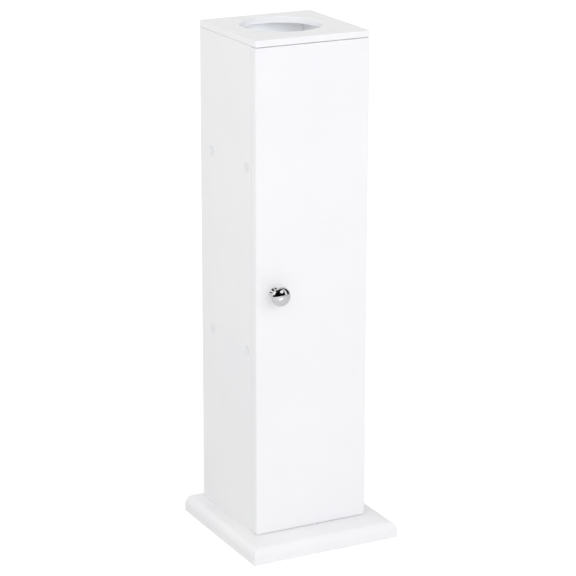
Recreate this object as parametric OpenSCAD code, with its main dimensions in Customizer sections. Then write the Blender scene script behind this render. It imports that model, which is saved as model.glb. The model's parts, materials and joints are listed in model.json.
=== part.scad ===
// Toilet roll storage cabinet: a narrow free-standing cupboard in white painted board.
// It has a plinth base with a quarter-round edge, a lid with a round opening for
// dropping rolls in, two fixed shelves and one full-height door on flush hinges.
// Millimetres. +Z is up, the door faces -Y and is hinged on the +X side.
// The origin is the centre of the underside of the base.

/* [Cabinet] */
// Width of the body, the lid and the door
body_w = 160; // [150:1:190]
// Depth of the body from the door's face to the back
body_d = 160; // [150:1:190]
// Height from the floor to the top of the lid
total_h = 674; // [620:1:760]
// Thickness of the side panels and the shelves
board_t = 12; // [12:1:15]
// Thickness of the lid
lid_t = 9; // [9:1:15]
// Thickness of the hardboard back
back_t = 3; // [3:0.5:4]
// Radius that the exposed edges of the door and the side panels are eased to
ease_r = 0.6; // [0.4:0.1:1.5]
// Radius that the lid's edges are eased to
lid_ease = 1; // [0.5:0.1:1.5]

/* [Base] */
// Width of the base
base_w = 211; // [205:1:250]
// Depth of the base
base_d = 211; // [205:1:250]
// Thickness of the base
base_t = 20; // [20:1:28]
// Radius of the quarter-round along the front and the sides
base_round = 10; // [4:0.5:10]
// How far the base stands out behind the body
base_back_step = 5.5; // [2:0.5:10]

/* [Lid opening] */
// Diameter of the round opening
opening_d = 105; // [90:1:110]
// Distance from the lid's front edge to the middle of the opening
opening_in = 87.25; // [80:0.25:95]
// Radius that the opening's upper and lower rims are eased to
opening_ease = 1.5; // [0.5:0.25:3]

/* [Shelves] */
// Height of the middle of the lower shelf above the floor
shelf_low_z = 266.5; // [200:0.5:300]
// Height of the middle of the upper shelf above the floor
shelf_high_z = 508.5; // [440:0.5:540]
// How far the shelves' front edges sit behind those of the side panels
shelf_set_back = 2; // [1:0.5:6]

/* [Door] */
// Thickness of the door
door_t = 12; // [12:1:16]
// Gap above and below the door
door_gap = 0.6; // [0.6:0.1:3]
// Gap between the closed door and the side panels
seam = 0.5; // [0.4:0.1:1.2]

/* [Knob] */
// Distance from the door's free edge to the knob's centre
knob_edge = 26; // [20:1:40]
// Height of the knob's centre above the floor
knob_z = 348; // [300:1:400]
// Diameter of the knob's domed head
knob_d = 26; // [22:1:30]
// Reach of the knob from the door's face
knob_reach = 26; // [24:1:30]
// Diameter of the knob's foot on the door
knob_foot_d = 13.6; // [12:0.2:16]
// Diameter of the knob's waist
knob_waist_d = 6.8; // [6.4:0.2:9]

/* [Hinges] */
// Length of each flush hinge
hinge_l = 50; // [50:1:60]
// Distance from the door's ends to the middle of each hinge
hinge_end = 75; // [50:1:120]
// Thickness of the hinge leaves
leaf_t = 1.1; // [0.9:0.1:1.1]
// Outer diameter of the knuckles
knuckle_d = 5; // [4.6:0.1:5.4]
// Diameter of the hinge pins
pin_d = 2.5; // [2.2:0.1:2.6]

/* [Catch] */
// Diameter of the magnet in the base and of its steel disc in the door
catch_d = 8; // [6:0.5:9]
// Distance of the catch from the middle of the door towards the hinges
catch_x = 11; // [0:1:30]

/* [Hidden] */
$fn = 48;

// Cuts run this far past the face that they open
cut = 1;
// Slack round a shank, dowel or plug in its hole
slack = 0.05;
// Gap between the leaves of a hinge, and between its knuckles
leaf_gap = 0.4;
// Gap round a hinge in its housing, and between its knuckles and the body's side
housing_gap = 0.3;

// Where the body stands on the base
body_back = base_d / 2 - base_back_step;
door_face = body_back - body_d;
door_back = door_face + door_t;
side_front = door_back + seam;
side_d = body_back - side_front;
side_x = body_w / 2 - board_t;
lid_z = total_h - lid_t;
side_h = lid_z - base_t;
opening_y = door_face + opening_in;

// The back panel lies in a rebate along each side panel, a little smaller than its place
rebate_w = board_t / 2;
back_play = 0.5;
back_w = 2 * (side_x + rebate_w - back_play);
back_h = side_h - back_play;

// Shelves
shelf_zs = [shelf_low_z, shelf_high_z];
shelf_front = side_front + shelf_set_back;
shelf_d = body_back - back_t - shelf_front;

// Fasteners. Each countersunk screw is [head diameter, shank diameter, length]. Its cross recess
// is [length, width] as shares of the head's diameter, and a share of the countersink deep
shelf_screw = [7.6, 3.8, 36];
base_screw = [7.6, 3.8, 45];
block_screw = [5.6, 2.8, 11];
hinge_screw = [4.6, 2.4, 10];
recess_share = [0.56, 0.13];
recess_depth_share = 0.6;

// Distances of each row of fasteners from the front and from the back of the boards they join
shelf_screw_in = [26.5, 32];
base_screw_in = 20;
base_dowel_in = 45;
top_dowel_in = [12, 16];
shelf_screw_ys = [door_face + shelf_screw_in[0], body_back - shelf_screw_in[1]];
base_screw_ys = [side_front + base_screw_in, body_back - base_screw_in];
base_dowel_ys = [side_front + base_dowel_in, body_back - base_dowel_in];
top_dowel_ys = [side_front + top_dowel_in[0], body_back - top_dowel_in[1]];

// How deep the heads, the dowels' ends and the plugs over the shelf screws are let in
base_sink = 1;
cap_d = 14;
cap_depth = 4;
cap_t = 3.2;
dowel_d = 6;
base_dowel_l = 30;
base_dowel_deep = 12;
top_dowel_l = 22;
top_dowel_deep = 6;

// Panel pins through the back. Their heads are [diameter, thickness]
back_pin_d = 1.4;
back_pin_l = 16;
back_pin_shank = 15;
back_pin_head = [3, 0.5];
back_pin_count = 6;
back_pin_x = side_x + rebate_w / 2;

// Plastic corner block under the lid, and how far behind the side panels' front it starts
block_leg = 14;
block_wall = 4;
block_l = 22;
block_rib = 1.6;
block_set_back = 5;
block_y = side_front + block_set_back + block_l / 2;
block_screw_y = block_l / 4;
block_screw_off = 9;

// Door
door_h = side_h - 2 * door_gap;
door_z = base_t + door_gap;

// Hinges. The large leaf stops short of the side panel's inner face and has a window for the
// small leaf. Together they are thicker than the seam, so a housing takes the rest
knuckle_r = knuckle_d / 2;
pin_r = pin_d / 2;
leaf_inset = 2.8;
leaf_web = 2;
leaf_corner_r = 1.5;
door_leaf_share = 0.61;
door_screw_in = 6;
hinge_zs = [door_z + hinge_end, door_z + door_h - hinge_end];
door_leaf_y = door_back;
frame_leaf_y = door_back + leaf_gap;
housing_depth = frame_leaf_y + leaf_t - side_front;
hinge_x = body_w / 2 + knuckle_r + housing_gap;
hinge_y = (door_leaf_y + frame_leaf_y + leaf_t) / 2;
frame_leaf_x = side_x + leaf_inset;
window_x = frame_leaf_x + leaf_web;
door_leaf_x = window_x + leaf_gap;
door_leaf_l = hinge_l * door_leaf_share;
frame_knuckle_l = (hinge_l - door_leaf_l) / 2 - leaf_gap;
frame_screw_x = (frame_leaf_x + body_w / 2) / 2;
frame_screw_z = (hinge_l - frame_knuckle_l) / 2;
door_screw_x = (door_leaf_x + body_w / 2) / 2;
door_screw_z = door_leaf_l / 2 - door_screw_in;

// Knob: heights of its rim at the foot, of its dome and of the round under its head, and the
// [width, height] that its stem flares out by. Its screw comes through the door from inside
knob_x = -body_w / 2 + knob_edge;
knob_foot_rim = 0.8;
knob_dome = 6.5;
knob_under = 3.4;
knob_flare = [5.4, 8.4];
knob_bore_l = 13;
knob_screw_d = 4;
knob_screw_head = [8.4, 2.6];
knob_screw_edge = 1;
knob_screw_recess = [4.4, 1, 1.4];

// Catch: the magnet and its steel disc start close behind the door's face, and each stands out by
// a fifth of the gap under the door
catch_in = 1.2;
catch_out = door_gap / 5;
magnet_l = 5;
strike_l = 5;
catch_y = door_face + catch_in + catch_d / 2;

// ---- Shapes that several pieces share ----

// Rectangle from the corner at the origin, with corner arcs of radius r
module round_rect(w, h, r) {
    translate([r, 0]) square([w - 2 * r, h]);
    translate([0, r]) square([w, h - 2 * r]);
    for (x = [r, w - r], y = [r, h - r])
        translate([x, y]) circle(r = r);
}

// Board from the corner at the origin, with all its edges eased to radius r
module eased_board(w, d, h, r) {
    intersection() {
        linear_extrude(h) round_rect(w, d, r);
        translate([0, d, 0]) rotate([90, 0, 0]) linear_extrude(d) round_rect(w, h, r);
        rotate([90, 0, 90]) linear_extrude(w) round_rect(d, h, r);
    }
}

// Outline that a screw turns through: face at the origin, pointing along +Z
module screw_outline(screw, room) {
    head_r = screw[0] / 2;
    shank_r = screw[1] / 2 + room;
    polygon([[0, 0], [head_r, 0], [shank_r, head_r - shank_r],
        [shank_r, screw[2] - screw[1]], [0, screw[2] + room]]);
}

// Countersunk screw with a cross recess
module csk_screw(screw) {
    recess_l = screw[0] * recess_share[0];
    recess_w = screw[0] * recess_share[1];
    recess_d = recess_depth_share * (screw[0] - screw[1]) / 2;
    difference() {
        rotate_extrude() screw_outline(screw, 0);
        for (turn = [0, 90])
            rotate([0, 0, turn])
                translate([-recess_l / 2, -recess_w / 2, -cut]) cube([recess_l, recess_w, recess_d + cut]);
    }
}

// The hole that a countersunk screw leaves, sunk below a face by the given depth
module csk_hole(screw, sink) {
    translate([0, 0, sink]) rotate_extrude() screw_outline(screw, slack);
    translate([0, 0, -cut]) cylinder(d = screw[0], h = sink + cut);
}

// Places of the fasteners. Children point along +Z, into the board
module at_shelf_screws(side) {
    for (z = shelf_zs, y = shelf_screw_ys)
        translate([side * body_w / 2, y, z]) rotate([0, -side * 90, 0]) children();
}

module at_base_screws() {
    for (side = [-1, 1], y = base_screw_ys)
        translate([side * (body_w - board_t) / 2, y, 0]) children();
}

module at_base_dowels() {
    for (side = [-1, 1], y = base_dowel_ys)
        translate([side * (body_w - board_t) / 2, y, base_t - base_dowel_deep]) children();
}

module at_top_dowels() {
    for (side = [-1, 1], y = top_dowel_ys)
        translate([side * (body_w - board_t) / 2, y, lid_z + top_dowel_deep - top_dowel_l]) children();
}

module at_back_pins() {
    pitch = back_h / back_pin_count;
    for (side = [-1, 1], i = [0 : back_pin_count - 1])
        translate([side * back_pin_x, body_back, base_t + (i + 0.5) * pitch]) rotate([90, 0, 0]) children();
}

// Inner corner between lid and side panel: +X leads inwards, +Z downwards
module at_block(side) {
    translate([side * side_x, block_y, lid_z])
        mirror([side > 0 ? 1 : 0, 0, 0]) mirror([0, 0, 1]) children();
}

// The block's two screws: one up into the lid, one sideways into the side panel
module at_block_screws(side) {
    at_block(side) {
        translate([block_screw_off, -block_screw_y, block_wall]) rotate([180, 0, 0]) children();
        translate([block_wall, block_screw_y, block_screw_off]) rotate([0, -90, 0]) children();
    }
}

module at_frame_screws(z) {
    for (end = [-1, 1])
        translate([frame_screw_x, frame_leaf_y, z + end * frame_screw_z])
            rotate([-90, 0, 0]) children();
}

module at_door_screws(z) {
    for (end = [-1, 1])
        translate([door_screw_x, door_leaf_y + leaf_t, z + end * door_screw_z])
            rotate([90, 0, 0]) children();
}

module at_knob() {
    translate([knob_x, door_face, knob_z]) rotate([90, 0, 0]) children();
}

// ---- Boards of the cabinet ----

// Section of the base, with a quarter-round on its near top edge and, if asked, the far one
module base_section(length, both) {
    square([length, base_t - base_round]);
    translate([base_round, 0]) square([length - (both ? 2 : 1) * base_round, base_t]);
    for (x = both ? [base_round, length - base_round] : [base_round])
        translate([x, base_t - base_round]) circle(r = base_round, $fn = 96);
}

module base_plate() {
    color("white") difference() {
        translate([-base_w / 2, -base_d / 2, 0]) intersection() {
            translate([0, base_d, 0]) rotate([90, 0, 0]) linear_extrude(base_d) base_section(base_w, true);
            rotate([90, 0, 90]) linear_extrude(base_w) base_section(base_d, false);
        }
        at_base_screws() csk_hole(base_screw, base_sink);
        at_base_dowels() cylinder(d = dowel_d + 2 * slack, h = base_dowel_l);
        translate([catch_x, catch_y, base_t + catch_out - magnet_l])
            cylinder(d = catch_d + 2 * slack, h = magnet_l);
    }
}

// Side panel: rebated at the back, bored for the shelf screws and their caps
module side_panel(side) {
    corner_x = side > 0 ? side_x : -body_w / 2;
    rebate_x = side > 0 ? side_x - cut : -side_x - rebate_w;
    color("white") difference() {
        translate([corner_x, side_front, base_t]) linear_extrude(side_h) round_rect(board_t, side_d, ease_r);
        translate([rebate_x, body_back - back_t, base_t - cut])
            cube([rebate_w + cut, back_t + cut, side_h + 2 * cut]);
        at_shelf_screws(side) {
            translate([0, 0, -cut]) cylinder(d = cap_d + 2 * slack, h = cap_depth + cut);
            translate([0, 0, cap_depth]) rotate_extrude() screw_outline(shelf_screw, slack);
        }
        at_base_screws() translate([0, 0, base_sink]) rotate_extrude() screw_outline(base_screw, slack);
        at_base_dowels() cylinder(d = dowel_d + 2 * slack, h = base_dowel_l);
        at_top_dowels() cylinder(d = dowel_d + 2 * slack, h = top_dowel_l + cut);
        at_back_pins() cylinder(d = back_pin_d + 2 * slack, h = back_pin_l);
        at_block_screws(side) rotate_extrude() screw_outline(block_screw, slack);
        if (side > 0)
            for (z = hinge_zs) {
                at_frame_screws(z) rotate_extrude() screw_outline(hinge_screw, slack);
                hinge_housing(z);
            }
    }
}

module back_panel() {
    color("whitesmoke") difference() {
        translate([-back_w / 2, body_back - back_t, base_t]) cube([back_w, back_t, back_h]);
        at_back_pins() translate([0, 0, -cut]) cylinder(d = back_pin_d + 2 * slack, h = back_pin_l);
    }
}

// Outline of the lid's opening: a bore whose two rims open out in quarter-rounds
module opening_outline() {
    bore_r = opening_d / 2;
    rim_r = bore_r + opening_ease;
    difference() {
        translate([0, -cut]) square([rim_r, lid_t + 2 * cut]);
        translate([bore_r, opening_ease]) square([opening_ease + cut, lid_t - 2 * opening_ease]);
        for (y = [opening_ease, lid_t - opening_ease])
            translate([rim_r, y]) circle(r = opening_ease);
    }
}

module top_panel() {
    color("white") difference() {
        translate([-body_w / 2, door_face, lid_z]) eased_board(body_w, body_d, lid_t, lid_ease);
        translate([0, opening_y, lid_z]) rotate_extrude($fn = 120) opening_outline();
        at_top_dowels() cylinder(d = dowel_d + 2 * slack, h = top_dowel_l);
        for (side = [-1, 1])
            at_block_screws(side) rotate_extrude() screw_outline(block_screw, slack);
    }
}

module shelf(z) {
    color("white") difference() {
        translate([-side_x, shelf_front, z - board_t / 2])
            rotate([90, 0, 90]) linear_extrude(2 * side_x) {
                translate([ease_r, 0]) square([shelf_d - ease_r, board_t]);
                round_rect(board_t, board_t, ease_r);
            }
        for (side = [-1, 1])
            at_shelf_screws(side) translate([0, 0, cap_depth])
                rotate_extrude() screw_outline(shelf_screw, slack);
    }
}

// ---- Joinery and fasteners of the cabinet ----

// Corner block: two legs at a right angle, braced by a web at each end and in the middle
module corner_block(side) {
    web = [[0, 0], [block_leg, 0], [block_leg, block_wall], [block_wall, block_leg], [0, block_leg]];
    color("white") difference() {
        at_block(side) {
            translate([0, -block_l / 2, 0]) cube([block_leg, block_l, block_wall]);
            translate([0, -block_l / 2, 0]) cube([block_wall, block_l, block_leg]);
            for (y = [-(block_l - block_rib) / 2, 0, (block_l - block_rib) / 2])
                translate([0, y + block_rib / 2, 0])
                    rotate([90, 0, 0]) linear_extrude(block_rib) polygon(web);
        }
        at_block_screws(side) csk_hole(block_screw, 0);
    }
}

module shelf_screws(side) {
    color("silver") at_shelf_screws(side) translate([0, 0, cap_depth]) csk_screw(shelf_screw);
}

// Press-in plugs over the shelf screws, each with a shallow dished face just below the board's
module cover_caps(side) {
    dish = 0.7;
    dish_r = (pow(cap_d / 2 - 1, 2) + dish * dish) / (2 * dish);
    sunk = cap_depth - cap_t;
    color("gainsboro") at_shelf_screws(side) difference() {
        translate([0, 0, sunk / 2]) cylinder(d = cap_d, h = cap_t);
        translate([0, 0, sunk / 2 + dish - dish_r]) sphere(r = dish_r, $fn = 96);
    }
}

module base_screws() {
    color("silver") at_base_screws() translate([0, 0, base_sink]) csk_screw(base_screw);
}

// Beech dowel with chamfered ends
module dowel(length) {
    chamfer = 0.8;
    rotate_extrude() polygon([[0, 0], [dowel_d / 2 - chamfer, 0], [dowel_d / 2, chamfer],
        [dowel_d / 2, length - chamfer], [dowel_d / 2 - chamfer, length], [0, length]]);
}

module base_dowels() {
    color("burlywood") at_base_dowels() dowel(base_dowel_l);
}

module top_dowels() {
    color("burlywood") at_top_dowels() dowel(top_dowel_l);
}

module block_screws() {
    color("silver") for (side = [-1, 1]) at_block_screws(side) csk_screw(block_screw);
}

// Panel pins that hold the back in its rebates
module back_panel_pins() {
    color("silver") at_back_pins() {
        translate([0, 0, -back_pin_head[1]]) cylinder(d = back_pin_head[0], h = back_pin_head[1]);
        cylinder(d = back_pin_d, h = back_pin_shank);
        translate([0, 0, back_pin_shank])
            cylinder(d1 = back_pin_d, d2 = 0.2, h = back_pin_l - back_pin_shank);
    }
}

// ---- Flush hinges ----

// Housing that a hinge's leaves lie in, cut into the front edge of the side panel
module hinge_housing(z) {
    housing_x = frame_leaf_x - housing_gap;
    housing_l = hinge_l + 2 * housing_gap;
    translate([housing_x, side_front - cut, z - housing_l / 2])
        cube([body_w / 2 - housing_x + cut, housing_depth + cut, housing_l]);
}

// One knuckle about the hinge axis, between two heights
module knuckle(z, length) {
    translate([hinge_x, hinge_y, z]) cylinder(r = knuckle_r, h = length);
}

module pin_bore(z) {
    translate([hinge_x, hinge_y, z - hinge_l / 2 - cut]) cylinder(r = pin_r + slack, h = hinge_l + 2 * cut);
}

// Rectangular leaf from x to the hinge axis, standing on y, with its free corners rounded
module leaf_plate(x, y, z, length) {
    translate([x, y + leaf_t, z - length / 2]) rotate([90, 0, 0]) linear_extrude(leaf_t) {
        round_rect(2 * leaf_corner_r + cut, length, leaf_corner_r);
        translate([leaf_corner_r, 0]) square([hinge_x - x - leaf_corner_r, length]);
    }
}

// Large leaf: screwed to the side panel's front edge, with a window for the small leaf
// and a knuckle at each end
module hinge_frame_leaf(z) {
    window_l = door_leaf_l + 2 * leaf_gap;
    color("silver") difference() {
        union() {
            difference() {
                leaf_plate(frame_leaf_x, frame_leaf_y, z, hinge_l);
                translate([window_x, frame_leaf_y - cut, z - window_l / 2])
                    cube([hinge_x - window_x + cut, leaf_t + 2 * cut, window_l]);
            }
            knuckle(z - hinge_l / 2, frame_knuckle_l);
            knuckle(z + hinge_l / 2 - frame_knuckle_l, frame_knuckle_l);
        }
        pin_bore(z);
        at_frame_screws(z) csk_hole(hinge_screw, 0);
    }
}

// Small leaf: screwed to the back of the door, with one long knuckle
module hinge_door_leaf(z) {
    color("silver") difference() {
        union() {
            leaf_plate(door_leaf_x, door_leaf_y, z, door_leaf_l);
            knuckle(z - door_leaf_l / 2, door_leaf_l);
        }
        pin_bore(z);
        at_door_screws(z) csk_hole(hinge_screw, 0);
    }
}

// Hinge pin with a low head formed on each end
module hinge_pin(z) {
    head_r = pin_r + 0.7;
    face_r = pin_r + 0.3;
    head_h = 0.6;
    half = hinge_l / 2;
    color("silver") translate([hinge_x, hinge_y, z]) rotate_extrude()
        polygon([[0, -half - head_h], [face_r, -half - head_h], [head_r, -half], [pin_r, -half],
            [pin_r, half], [head_r, half], [face_r, half + head_h], [0, half + head_h]]);
}

module hinge_frame_screws() {
    color("silver") for (z = hinge_zs) at_frame_screws(z) csk_screw(hinge_screw);
}

module hinge_door_screws() {
    color("silver") for (z = hinge_zs) at_door_screws(z) csk_screw(hinge_screw);
}

// ---- Door ----

module door_panel() {
    color("white") difference() {
        translate([-body_w / 2, door_face, door_z]) eased_board(body_w, door_t, door_h, ease_r);
        at_knob() translate([0, 0, -door_t - cut])
            cylinder(d = knob_screw_d + 2 * slack, h = door_t + 2 * cut);
        for (z = hinge_zs)
            at_door_screws(z) rotate_extrude() screw_outline(hinge_screw, slack);
        translate([catch_x, catch_y, door_z - cut])
            cylinder(d = catch_d + 2 * slack, h = strike_l - catch_out + cut);
    }
}

// Mushroom knob: a low foot, a cone that narrows at 45 degrees to the waist, a stem that flares
// out again and a flattened domed head
module door_knob() {
    head_r = knob_d / 2;
    foot_r = knob_foot_d / 2;
    waist_r = knob_waist_d / 2;
    flare_r = waist_r + knob_flare[0];
    rim_z = knob_reach - knob_dome;
    stem_top = rim_z - knob_under;
    foot = [[0, 0], [foot_r, 0], [foot_r, knob_foot_rim], [waist_r, knob_foot_rim + foot_r - waist_r]];
    flare = [for (a = [0 : 10 : 90])
        [waist_r + knob_flare[0] * (1 - cos(a)), stem_top - knob_flare[1] * (1 - sin(a))]];
    under = [for (a = [-80 : 10 : -10])
        [flare_r + (head_r - flare_r) * cos(a), rim_z + knob_under * sin(a)]];
    dome = [for (a = [0 : 5 : 90]) [head_r * cos(a), rim_z + knob_dome * sin(a)]];
    color("silver") at_knob() difference() {
        rotate_extrude($fn = 72) polygon(concat(foot, flare, under, dome));
        translate([0, 0, -cut]) cylinder(d = knob_screw_d + 2 * slack, h = knob_bore_l + cut);
    }
}

// Pan-head screw that clamps the knob through the door
module knob_screw() {
    head_r = knob_screw_head[0] / 2;
    head_h = knob_screw_head[1];
    edge = knob_screw_edge;
    recess = knob_screw_recess;
    shank_l = door_t + knob_bore_l - 1;
    color("silver") at_knob() translate([0, 0, -door_t]) difference() {
        rotate_extrude() {
            square([knob_screw_d / 2, shank_l]);
            translate([0, -head_h]) square([head_r - edge, head_h]);
            translate([0, edge - head_h]) square([head_r, head_h - edge]);
            translate([head_r - edge, edge - head_h]) circle(r = edge);
        }
        for (turn = [0, 90])
            rotate([0, 0, turn]) translate([-recess[0] / 2, -recess[1] / 2, -head_h - cut])
                cube([recess[0], recess[1], recess[2] + cut]);
    }
}

// ---- Catch ----

module catch_magnet() {
    color("dimgray") translate([catch_x, catch_y, base_t + catch_out - magnet_l])
        cylinder(d = catch_d, h = magnet_l);
}

module catch_strike() {
    color("slategray") translate([catch_x, catch_y, door_z - catch_out])
        cylinder(d = catch_d, h = strike_l);
}

base_plate();
side_panel(-1);  // side_panel_left
side_panel(1);  // side_panel_right
back_panel();
top_panel();
shelf(shelf_low_z);  // shelf_lower
shelf(shelf_high_z);  // shelf_upper
corner_block(-1);  // corner_block_left
corner_block(1);  // corner_block_right
shelf_screws(-1);  // shelf_screws_left
shelf_screws(1);  // shelf_screws_right
cover_caps(-1);  // cover_caps_left
cover_caps(1);  // cover_caps_right
base_screws();
base_dowels();
top_dowels();
block_screws();
back_panel_pins();
hinge_frame_leaf(hinge_zs[0]);  // hinge_frame_leaf_lower
hinge_frame_leaf(hinge_zs[1]);  // hinge_frame_leaf_upper
hinge_pin(hinge_zs[0]);  // hinge_pin_lower
hinge_pin(hinge_zs[1]);  // hinge_pin_upper
hinge_frame_screws();
catch_magnet();
door_panel();
hinge_door_leaf(hinge_zs[0]);  // hinge_door_leaf_lower
hinge_door_leaf(hinge_zs[1]);  // hinge_door_leaf_upper
hinge_door_screws();
door_knob();
knob_screw();
catch_strike();
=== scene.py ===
"""Looks of a narrow toilet roll cabinet in sprayed white board, with a chrome knob.

Lengths are in metres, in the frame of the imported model: +Z is up, the door faces -Y and its
hinges are on the +X side. Angles are written in degrees.
"""

import json
import math

import bmesh
import bpy
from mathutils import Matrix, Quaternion, Vector


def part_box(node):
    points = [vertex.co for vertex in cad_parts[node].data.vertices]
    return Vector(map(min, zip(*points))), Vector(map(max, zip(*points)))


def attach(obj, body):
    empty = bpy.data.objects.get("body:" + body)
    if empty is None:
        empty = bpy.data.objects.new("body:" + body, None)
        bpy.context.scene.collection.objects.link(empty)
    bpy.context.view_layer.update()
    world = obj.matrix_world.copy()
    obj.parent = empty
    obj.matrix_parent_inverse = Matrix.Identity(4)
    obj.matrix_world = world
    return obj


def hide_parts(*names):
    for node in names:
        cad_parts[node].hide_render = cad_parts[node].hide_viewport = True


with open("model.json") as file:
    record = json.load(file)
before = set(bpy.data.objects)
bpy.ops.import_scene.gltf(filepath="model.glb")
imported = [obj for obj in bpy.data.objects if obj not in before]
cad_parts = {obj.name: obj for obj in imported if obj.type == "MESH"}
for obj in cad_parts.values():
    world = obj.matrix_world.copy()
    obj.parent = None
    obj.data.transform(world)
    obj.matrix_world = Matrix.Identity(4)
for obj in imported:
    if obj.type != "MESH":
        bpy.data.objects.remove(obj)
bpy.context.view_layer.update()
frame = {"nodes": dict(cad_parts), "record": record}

MM = 0.001


def middle(corners):
    """The point halfway between a box's lowest and highest corners."""
    low, high = corners
    return (Vector(low) + Vector(high)) / 2


# ---------------------------------------------------------------- nodes, colours and patterns

# A Mix node has sockets for every kind of data. These are the numbers of the colours' ones.
MIX_FIRST, MIX_SECOND, MIX_RESULT = 6, 7, 2
WHITE = (1, 1, 1, 1)


def linear(code):
    """An sRGB hex colour as linear red, green, blue and alpha."""
    def channel(text):
        value = int(text, 16) / 255
        return value / 12.92 if value <= 0.04045 else ((value + 0.055) / 1.055) ** 2.4
    return (*(channel(code[i:i + 2]) for i in (1, 3, 5)), 1.0)


def add(tree, kind, inputs=None, **settings):
    """Adds one node. inputs gives sockets, by name or number, a value or an output to link.

    Where it gives a node, that node's first output is linked.
    """
    node = tree.nodes.new(kind)
    for name, value in settings.items():
        setattr(node, name, value)
    for name, value in (inputs or {}).items():
        if isinstance(value, bpy.types.Node):
            value = value.outputs[0]
        if isinstance(value, bpy.types.NodeSocket):
            tree.links.new(value, node.inputs[name])
        else:
            node.inputs[name].default_value = value
    return node


def material(name):
    """A new, empty material and its node tree."""
    made = bpy.data.materials.new(name)
    made.use_nodes = True
    made.node_tree.nodes.clear()
    return made, made.node_tree


def surface(tree, inputs):
    """Ends a material in one Principled surface."""
    shader = add(tree, "ShaderNodeBsdfPrincipled", inputs)
    add(tree, "ShaderNodeOutputMaterial", {"Surface": shader})


def noise(tree, size, detail=2.0, roughness=0.5, squeeze=(1, 1, 1)):
    """Noise from 0 to 1 in blotches of about `size` metres, drawn out where `squeeze` is below 1.

    It is fixed to the piece, whose own coordinates are the frame's at rest.
    """
    point = add(tree, "ShaderNodeTexCoord").outputs["Object"]
    squeezed = add(tree, "ShaderNodeMapping", {"Vector": point, "Scale": squeeze})
    return add(tree, "ShaderNodeTexNoise", {
        "Vector": squeezed, "Scale": 1 / size, "Detail": detail, "Roughness": roughness})


def wander(tree, size, low, high, detail=2.0, band=(0.3, 0.7)):
    """A value that wanders in blotches: low where their noise is under the band, high over it."""
    return add(tree, "ShaderNodeMapRange", {
        "Value": noise(tree, size, detail), "From Min": band[0], "From Max": band[1],
        "To Min": low, "To Max": high})


def mottled(tree, pattern, first, second, band=(0.3, 0.7)):
    """The first hex colour where the pattern is under the band, the second over it, a blend within."""
    share = add(tree, "ShaderNodeMapRange", {
        "Value": pattern, "From Min": band[0], "From Max": band[1]})
    return add(tree, "ShaderNodeMix", {
        "Factor": share, MIX_FIRST: linear(first), MIX_SECOND: linear(second)},
        data_type="RGBA").outputs[MIX_RESULT]


# ---------------------------------------------------------------- materials

# The lacquer's two tones, which differ at random, and the grey of its edge band, which is partly wear and
# partly painted shade along the joints between boards
LACQUER_LIGHT, LACQUER_DARK, LACQUER_WORN_AND_SHADED = "#F4F4F4", "#F2F2F3", "#E9E9E9"
LACQUER_IOR, POLYPROPYLENE_IOR = 1.48, 1.49
# The edge wear and the painted shade along the joints are full in a ragged band along a board's edges, up
# to this wide, and fade beyond it
WEAR_AND_SHADE_BAND, WEAR_AND_SHADE_FADE = 1.0 * MM, 0.7 * MM
# How much the edge band greys the colour, partly as wear and partly as painted shade, and how much its
# wear dulls the sheen
WEAR_AND_SHADE_GREYING, WEAR_DULLING = 0.6, 0.14
# The press's wires are 1.5 mm apart, and are drawn 2.4 mm apart so that they show
WIRE_STEP, WIRE_SHADING = 2.4 * MM, 0.35

BOARDS = ["base_plate", "side_panel_left", "side_panel_right", "top_panel", "shelf_lower",
          "shelf_upper", "door_panel"]
ZINC_PLATED = ["base_screws", "block_screws", "shelf_screws_left", "shelf_screws_right",
               "back_panel_pins", "knob_screw"]


def edge_distance(tree, node):
    """How far the shaded point is from the nearest edge of a board.

    A point on a board's face is next to nothing from that face, so the middle one of its three
    distances to the board's sides is the distance to the nearest edge.
    """
    low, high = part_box(node)
    point = add(tree, "ShaderNodeTexCoord").outputs["Object"]
    offset = add(tree, "ShaderNodeVectorMath", {0: point, 1: middle((low, high))}, operation="SUBTRACT")
    outwards = add(tree, "ShaderNodeVectorMath", {0: offset}, operation="ABSOLUTE")
    inwards = add(tree, "ShaderNodeVectorMath", {0: (high - low) / 2, 1: outwards}, operation="SUBTRACT")
    x, y, z = add(tree, "ShaderNodeSeparateXYZ", {0: inwards}).outputs
    smaller = add(tree, "ShaderNodeMath", {0: x, 1: y}, operation="MINIMUM")
    larger = add(tree, "ShaderNodeMath", {0: x, 1: y}, operation="MAXIMUM")
    capped = add(tree, "ShaderNodeMath", {0: larger, 1: z}, operation="MINIMUM")
    return add(tree, "ShaderNodeMath", {0: smaller, 1: capped}, operation="MAXIMUM")


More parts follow.
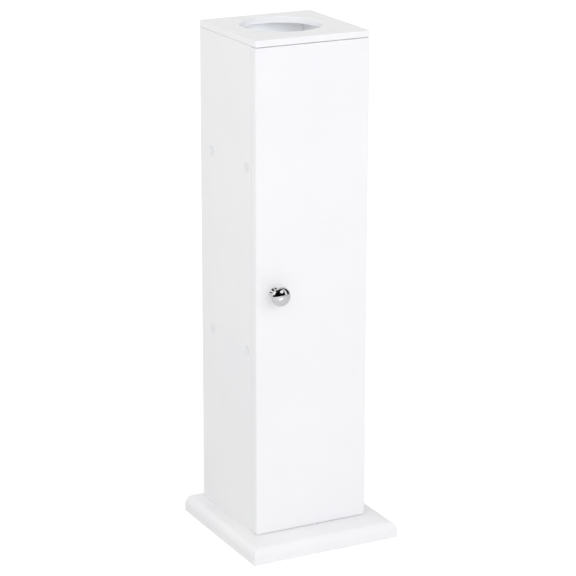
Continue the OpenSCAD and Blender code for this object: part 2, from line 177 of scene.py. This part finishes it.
def white_lacquer(node):
    """Satin acrylic lacquer sprayed over primed MDF.

    It shows a faint orange peel, and along the board's eased edges, where the fibres drink
    the lacquer and sanding cuts it thin, it turns a trace duller. It also turns a trace greyer
    there: partly that wear, and partly painted shade for the dark lines where boards meet.
    """
    made, tree = material("white_lacquer_" + node)
    past_band = add(tree, "ShaderNodeMath", {
        0: noise(tree, 14 * MM, detail=3.0), 1: -WEAR_AND_SHADE_BAND, 2: edge_distance(tree, node)},
        operation="MULTIPLY_ADD")
    wear_and_seam_shade = add(tree, "ShaderNodeMapRange", {
        "Value": past_band, "From Min": 0.0, "From Max": WEAR_AND_SHADE_FADE, "To Min": 1.0, "To Max": 0.0})
    # The grey along the edges is partly wear and partly painted shade, which darkens the lines where
    # boards meet
    greyed_by_wear_and_shade = add(tree, "ShaderNodeMath", {0: wear_and_seam_shade, 1: WEAR_AND_SHADE_GREYING}, operation="MULTIPLY")
    body = mottled(tree, noise(tree, 120 * MM), LACQUER_LIGHT, LACQUER_DARK, band=(0.35, 0.65))
    colour = add(tree, "ShaderNodeMix", {
        "Factor": greyed_by_wear_and_shade, MIX_FIRST: body, MIX_SECOND: linear(LACQUER_WORN_AND_SHADED)}, data_type="RGBA")
    sheen = wander(tree, 35 * MM, 0.34, 0.42, detail=3.0)
    roughness = add(tree, "ShaderNodeMath", {0: wear_and_seam_shade, 1: WEAR_DULLING, 2: sheen},
                    operation="MULTIPLY_ADD")
    # Orange peel is 1 to 2 mm across on the real board, and is drawn at 5 mm so that it shows.
    peel = add(tree, "ShaderNodeBump", {"Height": noise(tree, 5 * MM), "Distance": 0.035 * MM})
    fine = add(tree, "ShaderNodeBump", {
        "Height": noise(tree, 1.2 * MM), "Distance": 0.006 * MM, "Normal": peel})
    surface(tree, {"Base Color": colour.outputs[MIX_RESULT], "Roughness": roughness,
                   "IOR": LACQUER_IOR, "Normal": fine})
    return made


def screen_back_hardboard():
    """White hardboard: smooth lacquer inside, and on the back the print of the press's wire screen."""
    made, tree = material("screen_back_hardboard")
    point = add(tree, "ShaderNodeTexCoord").outputs["Object"]
    x, y, z = add(tree, "ShaderNodeSeparateXYZ", {0: point}).outputs
    outside = add(tree, "ShaderNodeMath", {0: y, 1: middle(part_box("back_panel")).y},
                  operation="GREATER_THAN")
    waves = []
    for place in (x, z):
        turn = add(tree, "ShaderNodeMath", {0: place, 1: math.tau / WIRE_STEP}, operation="MULTIPLY")
        waves.append(add(tree, "ShaderNodeMath", {0: turn}, operation="SINE"))
    crossed = add(tree, "ShaderNodeMath", {0: waves[0], 1: waves[1]}, operation="MULTIPLY")
    weave = add(tree, "ShaderNodeMapRange", {
        "Value": crossed, "From Min": -1.0, "From Max": 1.0, "To Min": 0.0, "To Max": 1.0})
    screen = add(tree, "ShaderNodeMath", {0: weave, 1: outside}, operation="MULTIPLY")
    shading = add(tree, "ShaderNodeMath", {0: screen, 1: WIRE_SHADING}, operation="MULTIPLY")
    body = mottled(tree, noise(tree, 60 * MM, detail=3.0), "#F1F1F1", "#EDEDEC")
    colour = add(tree, "ShaderNodeMix", {
        "Factor": shading, MIX_FIRST: body, MIX_SECOND: linear("#DDDDDB")}, data_type="RGBA")
    roughness = add(tree, "ShaderNodeMapRange", {"Value": outside, "To Min": 0.4, "To Max": 0.62})
    fibres = add(tree, "ShaderNodeBump", {
        "Height": noise(tree, 3 * MM, detail=4.0), "Distance": 0.03 * MM})
    print_of_wires = add(tree, "ShaderNodeBump", {
        "Height": screen, "Distance": 0.16 * MM, "Normal": fibres})
    surface(tree, {"Base Color": colour.outputs[MIX_RESULT], "Roughness": roughness,
                   "IOR": LACQUER_IOR, "Normal": print_of_wires})
    return made


def moulded_plastic(name, light, dark):
    """Injection-moulded polypropylene: a matt, faintly grained skin that scatters a little light."""
    made, tree = material(name)
    grain = add(tree, "ShaderNodeBump", {"Height": noise(tree, 0.6 * MM), "Distance": 0.012 * MM})
    surface(tree, {"Base Color": mottled(tree, noise(tree, 6 * MM), light, dark),
                   "Roughness": wander(tree, 3 * MM, 0.42, 0.52),
                   "IOR": POLYPROPYLENE_IOR, "Normal": grain})
    return made


def polished_chrome():
    """Bright chrome plate over zinc: a clear mirror with the faint haze of a wiped finger mark."""
    made, tree = material("polished_chrome")
    haze = wander(tree, 7 * MM, 0.025, 0.075, detail=3.0, band=(0.45, 0.75))
    surface(tree, {"Base Color": linear("#DDDDDE"), "Metallic": 1.0, "Roughness": haze})
    return made


def plated_steel(name, colour, smoothest, roughest, mark_size):
    """Barrel-plated steel: a soft metal sheen broken up by fine tumbling marks."""
    made, tree = material(name)
    marks = noise(tree, mark_size, detail=3.0, roughness=0.6, squeeze=(1, 1, 0.25))
    roughness = add(tree, "ShaderNodeMapRange", {
        "Value": marks, "From Min": 0.3, "From Max": 0.7, "To Min": smoothest, "To Max": roughest})
    dents = add(tree, "ShaderNodeBump", {"Height": marks, "Distance": 0.008 * MM})
    surface(tree, {"Base Color": linear(colour), "Metallic": 1.0, "Roughness": roughness,
                   "Normal": dents})
    return made


def raw_beech():
    """Unfinished beech dowel: pale tan, with fine darker flecks along the grain."""
    made, tree = material("raw_beech")
    grain = noise(tree, 1.6 * MM, detail=4.0, roughness=0.6, squeeze=(1, 1, 0.12))
    ridges = add(tree, "ShaderNodeBump", {"Height": grain, "Distance": 0.05 * MM})
    surface(tree, {"Base Color": mottled(tree, grain, "#D3B38A", "#B98F62", band=(0.35, 0.65)),
                   "Roughness": 0.65, "Normal": ridges})
    return made


def sintered_ferrite():
    """Pressed and fired ferrite: near-black, matt and slightly granular."""
    made, tree = material("sintered_ferrite")
    grit = noise(tree, 0.5 * MM, detail=3.0)
    grains = add(tree, "ShaderNodeBump", {"Height": grit, "Distance": 0.03 * MM})
    surface(tree, {"Base Color": mottled(tree, grit, "#26272A", "#3B3C40", band=(0.35, 0.7)),
                   "Roughness": 0.55, "Normal": grains})
    return made


def dress(names, made):
    """Gives CAD nodes a material."""
    for name in names:
        mesh = frame["nodes"][name].data
        mesh.materials.clear()
        mesh.materials.append(made)


def nodes_named(*starts):
    return [name for name in sorted(frame["nodes"]) if name.startswith(starts)]


for board in BOARDS:
    dress([board], white_lacquer(board))
dress(["back_panel"], screen_back_hardboard())
dress(nodes_named("corner_block"), moulded_plastic("white_polypropylene", "#E9E9E8", "#E3E3E2"))
# The caps' grey is partly their own plastic's tone and partly painted shade for the shallow recess that
# each one sits in
dress(nodes_named("cover_caps"), moulded_plastic("cap_polypropylene_with_painted_shade", "#ECEDEE", "#E7E8EA"))
dress(["door_knob"], polished_chrome())
nickel = plated_steel("nickel_plated_steel", "#CFCBC2", 0.19, 0.32, mark_size=1.2 * MM)
zinc = plated_steel("zinc_plated_steel", "#C9CED4", 0.27, 0.40, mark_size=2.0 * MM)
dress(nodes_named("hinge_") + ["catch_strike"], nickel)
dress(ZINC_PLATED, zinc)
dress(nodes_named("base_dowels", "top_dowels"), raw_beech())
dress(["catch_magnet"], sintered_ferrite())


# ---------------------------------------------------------------- screws

# Shares of the shank's radius: the thread's core and its rise in one turn, and the tip's length
CORE_RADIUS, THREAD_RISE, TIP_LENGTH = 0.72, 0.95, 2.0
# Shares of the head's radius: the cross recess's slots and its round hub, at the mouth and the bottom
SLOT_MOUTH, SLOT_BOTTOM, HUB_MOUTH, HUB_BOTTOM = 0.78, 0.50, 0.24, 0.12
# Shares of the head's depth. The recess's cutters start outside the head's face.
CUTTER_START, SLOT_HEIGHT, HUB_HEIGHT, STEM_OVERLAP = -0.2, 1.0, 1.1, 0.05
SLOT_WIDTH_TO_LENGTH, POINT_TO_CORE = 0.2, 0.05
CONE_SIDES, HELIX_SIDES, RIDGE_SIDES = 40, 16, 4
SHARP_FOLD = math.radians(25)
TURN_SEED = 7
WELD = 0.001 * MM

METALS = {"zinc": zinc, "nickel": nickel}
SCREWS = [
    # name, the CAD nodes that it replaces, body, slot
    ("threaded_base_screws", ["base_screws"], "cabinet", "zinc"),
    ("threaded_shelf_screws", ["shelf_screws_left", "shelf_screws_right"], "cabinet", "zinc"),
    ("threaded_block_screws", ["block_screws"], "cabinet", "zinc"),
    ("threaded_hinge_frame_screws", ["hinge_frame_screws"], "cabinet", "nickel"),
    ("threaded_hinge_door_screws", ["hinge_door_screws"], "door", "nickel"),
]


def shells(node):
    """The separate closed shapes of a CAD node, each as a list of its points.

    They come in the order of the mesh's points, and so in the same one each run.
    """
    copy = bmesh.new()
    copy.from_mesh(frame["nodes"][node].data)
    bmesh.ops.remove_doubles(copy, verts=copy.verts, dist=WELD)
    visited, found = set(), []
    for first in copy.verts:
        if first in visited:
            continue
        visited.add(first)
        shell, front = [], [first]
        while front:
            vert = front.pop()
            shell.append(vert.co.copy())
            for other in (edge.other_vert(vert) for edge in vert.link_edges):
                if other not in visited:
                    visited.add(other)
                    front.append(other)
        found.append(shell)
    copy.free()
    return found


def measure_screw(points):
    """The middle of a screw's face, the way it points, its head and shank radii and its length."""
    low, high = (Vector(pick(values) for values in zip(*points)) for pick in (min, max))
    centre, size = (low + high) / 2, high - low
    along = max(range(3), key=lambda axis: size[axis])

    def from_axis(point):
        offset = point - centre
        offset[along] = 0
        return offset.length

    rim = max(points, key=from_axis)
    face, aim = centre.copy(), Vector((0, 0, 0))
    face[along] = rim[along]
    aim[along] = 1 if rim[along] < centre[along] else -1
    shank = max(from_axis(point) for point in points if (point - centre).dot(aim) > 0)
    return face, aim, from_axis(rim), shank, size[along]


def countersunk_screws():
    """Geometry Nodes: a threaded countersunk screw with a cross recess, on every point it is given.

    A screw follows its point's "aim", and is turned about that by chance, as a driver leaves it.
    """
    tree = bpy.data.node_groups.new("countersunk_screws", "GeometryNodeTree")
    for name, kind in (("Geometry", "Geometry"), ("Head radius", "Float"), ("Shank radius", "Float"),
                       ("Length", "Float"), ("Seed", "Int")):
        tree.interface.new_socket(name, in_out="INPUT", socket_type="NodeSocket" + kind)
    tree.interface.new_socket("Geometry", in_out="OUTPUT", socket_type="NodeSocketGeometry")
    given = add(tree, "NodeGroupInput").outputs
    head, shank, length = given["Head radius"], given["Shank radius"], given["Length"]

    def move(shape, rotation=(0, 0, 0), scale=(1, 1, 1), up=0.0):
        place = add(tree, "ShaderNodeCombineXYZ", {"Z": up})
        return add(tree, "GeometryNodeTransform", {
            "Geometry": shape, "Translation": place, "Rotation": rotation, "Scale": scale})

    def cone(start, start_radius, depth, end_radius, sides=CONE_SIDES):
        shape = add(tree, "GeometryNodeMeshCone", {
            "Vertices": sides, "Radius Bottom": start_radius, "Radius Top": end_radius, "Depth": depth})
        return move(shape, up=start)

    # With a countersink of 90 degrees the head is as deep as the two radii differ.
    sink = add(tree, "ShaderNodeMath", {0: head, 1: shank}, operation="SUBTRACT")
    core, rise, tip = (
        add(tree, "ShaderNodeMath", {0: shank, 1: share}, operation="MULTIPLY")
        for share in (CORE_RADIUS, THREAD_RISE, TIP_LENGTH))
    slot_mouth, slot_bottom, hub_mouth, hub_bottom = (
        add(tree, "ShaderNodeMath", {0: head, 1: share}, operation="MULTIPLY")
        for share in (SLOT_MOUTH, SLOT_BOTTOM, HUB_MOUTH, HUB_BOTTOM))
    cutter_start, slot_height, hub_height, overlap = (
        add(tree, "ShaderNodeMath", {0: sink, 1: share}, operation="MULTIPLY")
        for share in (CUTTER_START, SLOT_HEIGHT, HUB_HEIGHT, STEM_OVERLAP))

    # The recess: two crossed, tapered slots and a hub are cut into the head one after the other.
    slot = move(cone(cutter_start, slot_mouth, slot_height, slot_bottom, sides=4),
                rotation=(0, 0, math.radians(45)))
    cutters = [move(slot, scale=(1, SLOT_WIDTH_TO_LENGTH, 1)),
               move(slot, scale=(SLOT_WIDTH_TO_LENGTH, 1, 1)),
               cone(cutter_start, hub_mouth, hub_height, hub_bottom)]
    crown = cone(0.0, head, sink, shank)
    for cutter in cutters:
        crown = add(tree, "GeometryNodeMeshBoolean", {"Mesh 1": crown, "Mesh 2": cutter},
                    operation="DIFFERENCE", solver="EXACT")

    tip_start = add(tree, "ShaderNodeMath", {0: length, 1: tip}, operation="SUBTRACT")
    threaded = add(tree, "ShaderNodeMath", {0: tip_start, 1: sink}, operation="SUBTRACT")
    turns = add(tree, "ShaderNodeMath", {0: threaded, 1: rise}, operation="DIVIDE")
    ridge = add(tree, "ShaderNodeMath", {0: shank, 1: core}, operation="SUBTRACT")
    helix = add(tree, "GeometryNodeCurveSpiral", {
        "Resolution": HELIX_SIDES, "Rotations": turns, "Start Radius": core, "End Radius": core,
        "Height": threaded})
    profile = add(tree, "GeometryNodeCurvePrimitiveCircle", {
        "Resolution": RIDGE_SIDES, "Radius": ridge})
    thread = add(tree, "GeometryNodeCurveToMesh", {
        "Curve": helix, "Profile Curve": profile, "Fill Caps": True})

    stem_start = add(tree, "ShaderNodeMath", {0: sink, 1: overlap}, operation="SUBTRACT")
    stem_length = add(tree, "ShaderNodeMath", {0: threaded, 1: overlap}, operation="ADD")
    point = add(tree, "ShaderNodeMath", {0: core, 1: POINT_TO_CORE}, operation="MULTIPLY")
    screw = add(tree, "GeometryNodeJoinGeometry")
    for shape in (crown, cone(stem_start, core, stem_length, core), move(thread, up=sink),
                  cone(tip_start, core, tip, point)):
        tree.links.new(shape.outputs[0], screw.inputs[0])
    smooth = add(tree, "GeometryNodeSetShadeSmooth", {"Geometry": screw, "Shade Smooth": True})
    fold = add(tree, "GeometryNodeInputMeshEdgeAngle").outputs["Unsigned Angle"]
    sharp = add(tree, "ShaderNodeMath", {0: fold, 1: SHARP_FOLD}, operation="GREATER_THAN")
    creased = add(tree, "GeometryNodeSetShadeSmooth", {
        "Geometry": smooth, "Selection": sharp, "Shade Smooth": False}, domain="EDGE")

    aim = add(tree, "GeometryNodeInputNamedAttribute", {"Name": "aim"}, data_type="FLOAT_VECTOR")
    along = add(tree, "FunctionNodeAlignRotationToVector", {"Vector": aim})
    # A Random Value node takes its least and most float at sockets 2 and 3, and gives one at 1.
    # Within a quarter turn the cross has every look that it can have.
    chance = add(tree, "FunctionNodeRandomValue", {
        2: 0.0, 3: math.tau / 4, "Seed": given["Seed"]}).outputs[1]
    turn = add(tree, "FunctionNodeEulerToRotation", {
        0: add(tree, "ShaderNodeCombineXYZ", {"Z": chance})})
    turned = add(tree, "FunctionNodeRotateRotation", {0: along, 1: turn}, rotation_space="LOCAL")
    placed = add(tree, "GeometryNodeInstanceOnPoints", {
        "Points": given["Geometry"], "Instance": creased, "Rotation": turned})
    real = add(tree, "GeometryNodeRealizeInstances", {"Geometry": placed})
    add(tree, "NodeGroupOutput", {"Geometry": real})
    return tree


def fit_screws(tree, name, nodes, body, slot):
    """Puts detailed screws in the places of CAD nodes' plain ones, with the sizes that those have.

    The plain screws of one call are all alike, so the first one's sizes are taken for all.
    """
    screws = [measure_screw(points) for node in nodes for points in shells(node)]
    faces, aims, heads, shanks, lengths = zip(*screws)
    places = bpy.data.meshes.new(name + "_places")
    places.from_pydata(faces, [], [])
    attribute = places.attributes.new("aim", "FLOAT_VECTOR", "POINT")
    for item, aim in zip(attribute.data, aims):
        item.vector = aim
    holder = bpy.data.objects.new(name + "_places", places)
    bpy.context.scene.collection.objects.link(holder)
    modifier = holder.modifiers.new("screws", "NODES")
    modifier.node_group = tree
    inputs = {item.name: item.identifier for item in tree.interface.items_tree
              if item.in_out == "INPUT"}
    for label, value in (("Head radius", heads[0]), ("Shank radius", shanks[0]),
                         ("Length", lengths[0]), ("Seed", TURN_SEED)):
        modifier[inputs[label]] = value
    evaluated = holder.evaluated_get(bpy.context.evaluated_depsgraph_get())
    piece = bpy.data.objects.new(name, bpy.data.meshes.new_from_object(evaluated))
    piece.data.name = name
    piece.data.materials.clear()
    piece.data.materials.append(METALS[slot])
    bpy.data.objects.remove(holder)
    bpy.context.scene.collection.objects.link(piece)
    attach(piece, body)
    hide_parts(*nodes)


screw_tree = countersunk_screws()
for screws in SCREWS:
    fit_screws(screw_tree, *screws)


# ---------------------------------------------------------------- floor, backdrop and lamps

# Strengths, where 1 is white
SURROUND, FLOOR_GLOW, DARK, CEILING_GREY, GLEAM_STRENGTH = 0.72, 1.1, 0.004, 0.62, 2.2
# How much of the floor's look is glow near the cabinet, and where it turns to all of it
FLOOR_WHITE, SHADOW_FADES, SHADOW_ENDS = 0.8, 0.30, 0.45
FLOOR_REACH = 9.0
SKIRTING_DISTANCE, SKIRTING_HEIGHT, SKIRTING_AZIMUTHS = 0.50, 0.045, range(-130, -49, 10)
# The dome: azimuths of the dark room and of the gap in it, and elevations of it and the ceiling
DOME_RADIUS, DOME_STEP = 6.0, 5
ROOM_LEFT, GAP_LEFT, GAP_RIGHT, ROOM_RIGHT = -115, 38, 53, 88
ROOM_LOW, ROOM_HIGH, CEILING_HIGH = 0.2, 65, 89
# The gleam on the table: where it is seen from the knob, and which way it lies
GLEAM_AZIMUTH, GLEAM_ELEVATION, GLEAM_HEADING = 13, -21, 50
GLEAM_LENGTH, GLEAM_WIDTH, GLEAM_HEIGHT, GLEAM_CORNERS = 0.56, 0.20, 2 * MM, 32

# What the lamps face. The lamp of the lid's opening hangs at its own aim, just under the lid.
MIDDLE = Vector((0, 0, 0.35))
KNOB = middle(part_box("door_knob"))
LID_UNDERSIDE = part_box("top_panel")[0].z
OPENING = middle(frame["record"]["physics"]["openings"][0]["box_m"])
OPENING.z = LID_UNDERSIDE - 4 * MM
BACK_UNDER_LID = Vector((-10 * MM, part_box("back_panel")[0].y, LID_UNDERSIDE - 37 * MM))

LAMPS = [
    # name, azimuth, elevation, distance, width, height, power, colour, mirrored, aim, spread
    ("round_softbox",   19, 27, 2.4,   1.10, 1.10,  3.8,   "#F8F8FF", True,  KNOB,           180),
    ("left_softbox",   -80, 33, 2.4,   2.20, 1.45, 12.3,   "#FFFFFF", True,  KNOB,           180),
    ("front_bank",     -14, 18, 3.0,   2.20, 1.90, 23.6,   "#F8F8FF", False, MIDDLE,         180),
    # Daylight through the lid's opening: what falls straight down, and what slants to the back
    ("opening_light",    0, 90, 0.0,   0.10, 0.10,  0.030, "#F2F8FF", False, OPENING,        180),
    ("slanting_light",   0, 14, 0.136, 0.02, 0.02,  0.004, "#F2F8FF", False, BACK_UNDER_LID,  46),
]


def direction(azimuth, elevation):
    """Unit vector from the cabinet outwards. Azimuth 0 is in front of the door, and 90 to its right."""
    a, e = math.radians(azimuth), math.radians(elevation)
    return Vector((math.sin(a) * math.cos(e), -math.cos(a) * math.cos(e), math.sin(e)))


def glowing(name, strength):
    """A material that only glows, in white or a grey."""
    made, tree = material(name)
    glow = add(tree, "ShaderNodeEmission", {"Color": WHITE, "Strength": strength})
    add(tree, "ShaderNodeOutputMaterial", {"Surface": glow})
    return made


def stage_piece(name, points, faces, made):
    """A piece of the set, which isn't part of the object."""
    mesh = bpy.data.meshes.new(name)
    mesh.from_pydata(points, [], faces)
    mesh.materials.append(made)
    piece = bpy.data.objects.new(name, mesh)
    bpy.context.scene.collection.objects.link(piece)
    return piece


def make_world():
    """An even white surround.

    It is plain white to the camera and in mirrors and glass, and dimmer as light on the cabinet.
    """
    world = bpy.data.worlds.new("studio")
    world.use_nodes = True
    tree = world.node_tree
    tree.nodes.clear()
    path = add(tree, "ShaderNodeLightPath").outputs
    mirrored = add(tree, "ShaderNodeMath", {
        0: path["Is Camera Ray"], 1: path["Is Glossy Ray"]}, operation="MAXIMUM")
    seen = add(tree, "ShaderNodeMath", {
        0: mirrored, 1: path["Is Transmission Ray"]}, operation="MAXIMUM")
    strength = add(tree, "ShaderNodeMapRange", {"Value": seen, "To Min": SURROUND, "To Max": 1.0})
    glow = add(tree, "ShaderNodeBackground", {"Color": WHITE, "Strength": strength})
    add(tree, "ShaderNodeOutputWorld", {"Surface": glow})
    bpy.context.scene.world = world


def make_floor():
    """A wide matt white floor. It looks almost plain white, and keeps a soft shadow round the cabinet.

    It is left open under the base, so that the underside can be looked at from below.
    """
    made, tree = material("studio_floor")
    paint = add(tree, "ShaderNodeBsdfDiffuse", {"Color": linear("#ECECEC")})
    glow = add(tree, "ShaderNodeEmission", {"Color": WHITE, "Strength": FLOOR_GLOW})
    point = add(tree, "ShaderNodeTexCoord").outputs["Object"]
    away = add(tree, "ShaderNodeVectorMath", {0: point}, operation="LENGTH").outputs["Value"]
    whiteness = add(tree, "ShaderNodeMapRange", {
        "Value": away, "From Min": SHADOW_FADES, "From Max": SHADOW_ENDS,
        "To Min": FLOOR_WHITE, "To Max": 1.0})
    camera_ray = add(tree, "ShaderNodeLightPath").outputs["Is Camera Ray"]
    share = add(tree, "ShaderNodeMath", {0: camera_ray, 1: whiteness}, operation="MULTIPLY")
    mixed = add(tree, "ShaderNodeMixShader", {0: share, 1: paint, 2: glow})
    add(tree, "ShaderNodeOutputMaterial", {"Surface": mixed})
    corners = [(x * reach, y * reach, 0) for reach in (FLOOR_REACH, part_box("base_plate")[1].x)
               for x, y in ((-1, -1), (1, -1), (1, 1), (-1, 1))]
    faces = [(i, (i + 1) % 4, 4 + (i + 1) % 4, 4 + i) for i in range(4)]
    stage_piece("floor", corners, faces, made)


def mirror_only(piece):
    """Leaves a piece of the set to be seen only in the knob and in the gloss of the lacquer."""
    piece.visible_camera = False
    piece.visible_diffuse = False
    piece.visible_shadow = False
    piece.visible_transmission = False


def dome_strip(name, left, right, low, high, made):
    """Part of the dome round the set, between two azimuths and two elevations."""
    columns = max(2, round((right - left) / DOME_STEP))
    azimuths = [left + (right - left) * i / columns for i in range(columns + 1)]
    elevations = [low, (low + high) / 2, high]
    points = [DOME_RADIUS * direction(azimuth, elevation)
              for elevation in elevations for azimuth in azimuths]
    row = len(azimuths)
    faces = [(r * row + i, r * row + i + 1, (r + 1) * row + i + 1, (r + 1) * row + i)
             for r in range(len(elevations) - 1) for i in range(columns)]
    mirror_only(stage_piece(name, points, faces, made))


def make_dome():
    """What the chrome reflects: a dark room with a gap in it, a grey ceiling and a gleam on the table."""
    dark = glowing("dark_room", DARK)
    dome_strip("room_left", ROOM_LEFT, GAP_LEFT, ROOM_LOW, ROOM_HIGH, dark)
    dome_strip("room_right", GAP_RIGHT, ROOM_RIGHT, ROOM_LOW, ROOM_HIGH, dark)
    dome_strip("ceiling", -180, 180, ROOM_HIGH, CEILING_HIGH, glowing("grey_ceiling", CEILING_GREY))
    down = direction(GLEAM_AZIMUTH, GLEAM_ELEVATION)
    centre = KNOB + down * (KNOB.z - GLEAM_HEIGHT) / -down.z
    along = direction(GLEAM_HEADING, 0) * GLEAM_LENGTH / 2
    across = direction(GLEAM_HEADING + 90, 0) * GLEAM_WIDTH / 2
    turns = [math.tau * i / GLEAM_CORNERS for i in range(GLEAM_CORNERS)]
    points = [centre + math.cos(turn) * along + math.sin(turn) * across for turn in turns]
    outline = tuple(range(GLEAM_CORNERS))
    mirror_only(stage_piece("table_gleam", points, [outline], glowing("table_gleam", GLEAM_STRENGTH)))


def make_skirting():
    """A low dark strip on the floor to the left, which darkens the cabinet's side towards its foot."""
    points = [SKIRTING_DISTANCE * direction(azimuth, 0) + Vector((0, 0, height))
              for height in (0, SKIRTING_HEIGHT) for azimuth in SKIRTING_AZIMUTHS]
    row = len(SKIRTING_AZIMUTHS)
    faces = [(i, i + 1, row + i + 1, row + i) for i in range(row - 1)]
    piece = stage_piece("left_skirting", points, faces, glowing("dark_skirting", DARK))
    piece.visible_camera = False
    piece.visible_glossy = False


def make_lamp(name, azimuth, elevation, distance, width, height, power, colour, mirrored, aim, spread):
    """A soft lamp that faces the point `aim`: a disc when it is as wide as it is high, else a panel.

    A lamp that isn't mirrored lights the cabinet and stays out of the chrome.
    """
    lamp = bpy.data.lights.new(name, "AREA")
    lamp.shape = "DISK" if width == height else "RECTANGLE"
    lamp.size, lamp.size_y, lamp.energy = width, height, power
    lamp.color = linear(colour)[:3]
    lamp.spread = math.radians(spread)
    holder = bpy.data.objects.new(name, lamp)
    outwards = direction(azimuth, elevation)
    holder.location = aim + distance * outwards
    holder.rotation_euler = outwards.to_track_quat("Z", "Y").to_euler()
    holder.visible_camera = False
    holder.visible_glossy = mirrored
    bpy.context.scene.collection.objects.link(holder)


make_world()
make_floor()
make_dome()
make_skirting()
for lamp in LAMPS:
    make_lamp(*lamp)


# ---------------------------------------------------------------- camera

# Fitted to the corners of the lid, the body and the base in the photo
CAMERA_AZIMUTH, CAMERA_ELEVATION, CAMERA_TURN = -27.28, 17.0, 0.12
CAMERA_DISTANCE, CAMERA_LENS = 3.1717, 146.7
LOOK_RIGHT, LOOK_UP = 0.0061, 0.3109


def make_camera():
    """The photograph's view: from the front left, a little above the lid, through a long lens."""
    outwards = direction(CAMERA_AZIMUTH, CAMERA_ELEVATION)
    right = direction(CAMERA_AZIMUTH + 90, 0)
    up = outwards.cross(right)
    body_axis = Vector((0, middle(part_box("top_panel")).y, 0))
    camera = bpy.data.objects.new("camera", bpy.data.cameras.new("camera"))
    camera.data.lens = CAMERA_LENS
    camera.location = body_axis + CAMERA_DISTANCE * outwards + LOOK_RIGHT * right + LOOK_UP * up
    level = outwards.to_track_quat("Z", "Y")
    camera.rotation_euler = (Quaternion(outwards, math.radians(CAMERA_TURN)) @ level).to_euler()
    bpy.context.scene.collection.objects.link(camera)
    bpy.context.scene.camera = camera


make_camera()
bpy.context.scene.view_settings.view_transform = "Standard"
# Light goes to and fro between the white boards of the upper compartment many times
bpy.context.scene.cycles.diffuse_bounces = 12
